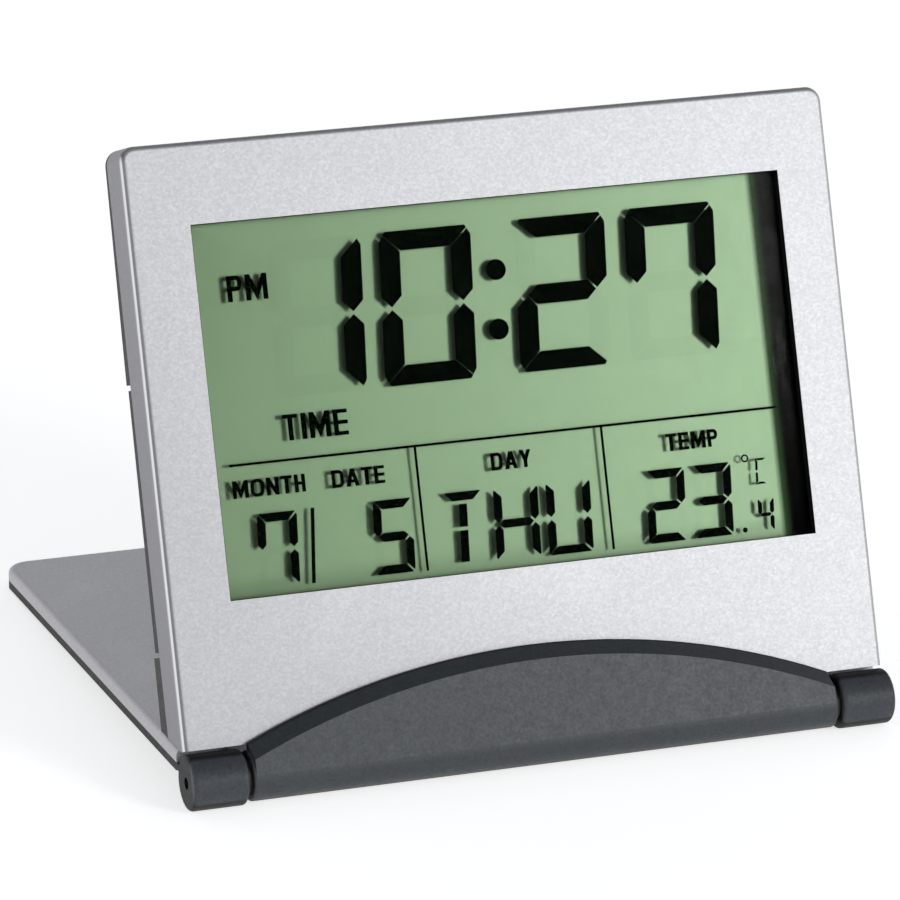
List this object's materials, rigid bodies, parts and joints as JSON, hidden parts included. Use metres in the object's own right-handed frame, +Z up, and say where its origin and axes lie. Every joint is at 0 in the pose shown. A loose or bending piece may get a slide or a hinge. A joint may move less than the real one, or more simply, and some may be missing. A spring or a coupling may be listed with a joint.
{
  "type": "folding travel alarm clock",
  "caption": "Folding digital travel alarm clock with a wide LCD in a satin metal face, standing on a flip cover that swings round to close over the display.",
  "frame": {"origin": "centre of the bounding box's base, on the table under the standing clock", "axes": "+X along the hinge to the right as seen from the front, +Y backwards, +Z up"},
  "size_m": [0.0854, 0.0744, 0.0692],
  "materials": {
    "face_metal": "fine-grained satin",
    "silver_shell": "silver paint, satin",
    "clear_lens": "clear acrylic, polished",
    "polariser": "grey-green film",
    "lcd_glass": "clear glass",
    "reflector_green": "grey-green reflecting film",
    "holder_plastic": "moulded, dark, matte",
    "strip_rubber": "layered conductive rubber",
    "board_green": "solder mask",
    "black_epoxy": "glossy blob",
    "bright_steel": "bright plated",
    "sensor_bead": "glazed bead",
    "buzzer_brass": "satin brass",
    "cell_steel": "nickel-plated",
    "mat_rubber": "matte silicone rubber",
    "dark_plastic": "fine-grained",
    "key_plastic": "silver paint, satin",
    "screw_steel": "dark plated",
    "hinge_grey": "satin",
    "washer_black": "matte",
    "cover_grey": "satin"
  },
  "bodies": {
    "clock_body": {"face_plate": "face_metal", "front_case": "silver_shell", "window_lens": "clear_lens", "lcd_film": "polariser", "lcd_front_glass": "lcd_glass", "lcd_rear_glass": "lcd_glass", "lcd_reflector": "reflector_green", "lcd_holder": "holder_plastic", "connector_strips": "strip_rubber", "circuit_board": "board_green", "chip_blob": "black_epoxy", "crystal_can": "bright_steel", "temperature_sensor": "sensor_bead", "buzzer_disc": "buzzer_brass", "contact_plus": "bright_steel", "contact_minus": "bright_steel", "coin_cell": "cell_steel", "key_mat": "mat_rubber", "rear_case": "dark_plastic", "case_screws": "screw_steel", "board_screws": "screw_steel", "hinge_arch": "hinge_grey", "hinge_pins": "bright_steel", "hinge_washers": "washer_black"},
    "cover": {"cover_frame": "cover_grey", "cover_shell": "silver_shell"},
    "key_mode_cap": {"key_mode": "key_plastic"},
    "key_set_cap": {"key_set": "key_plastic"},
    "key_up_cap": {"key_up": "key_plastic"},
    "key_down_cap": {"key_down": "key_plastic"},
    "door": {"battery_door": "dark_plastic"}
  },
  "joints": [
    {"name": "cover_hinge", "type": "hinge", "parent": "clock_body", "child": "cover", "pos_m": [0, -0.03399, 0.0032], "axis": [-1, 0, 0], "range_deg": [0, 288.9]},
    {"name": "key_mode_press", "type": "slide", "parent": "clock_body", "child": "key_mode_cap", "axis": [0, -0.9291, 0.3697], "range_m": [0, 0.0006], "stiffness_N_per_m": 400, "springref_m": -0.0005},
    {"name": "key_set_press", "type": "slide", "parent": "clock_body", "child": "key_set_cap", "axis": [0, -0.9291, 0.3697], "range_m": [0, 0.0006], "stiffness_N_per_m": 400, "springref_m": -0.0005},
    {"name": "key_up_press", "type": "slide", "parent": "clock_body", "child": "key_up_cap", "axis": [0, -0.9291, 0.3697], "range_m": [0, 0.0006], "stiffness_N_per_m": 400, "springref_m": -0.0005},
    {"name": "key_down_press", "type": "slide", "parent": "clock_body", "child": "key_down_cap", "axis": [0, -0.9291, 0.3697], "range_m": [0, 0.0006], "stiffness_N_per_m": 400, "springref_m": -0.0005},
    {"name": "battery_door_slide", "type": "slide", "parent": "clock_body", "child": "door", "axis": [0, 0.9291, -0.3697], "range_m": [0, 0.012]}
  ]
}
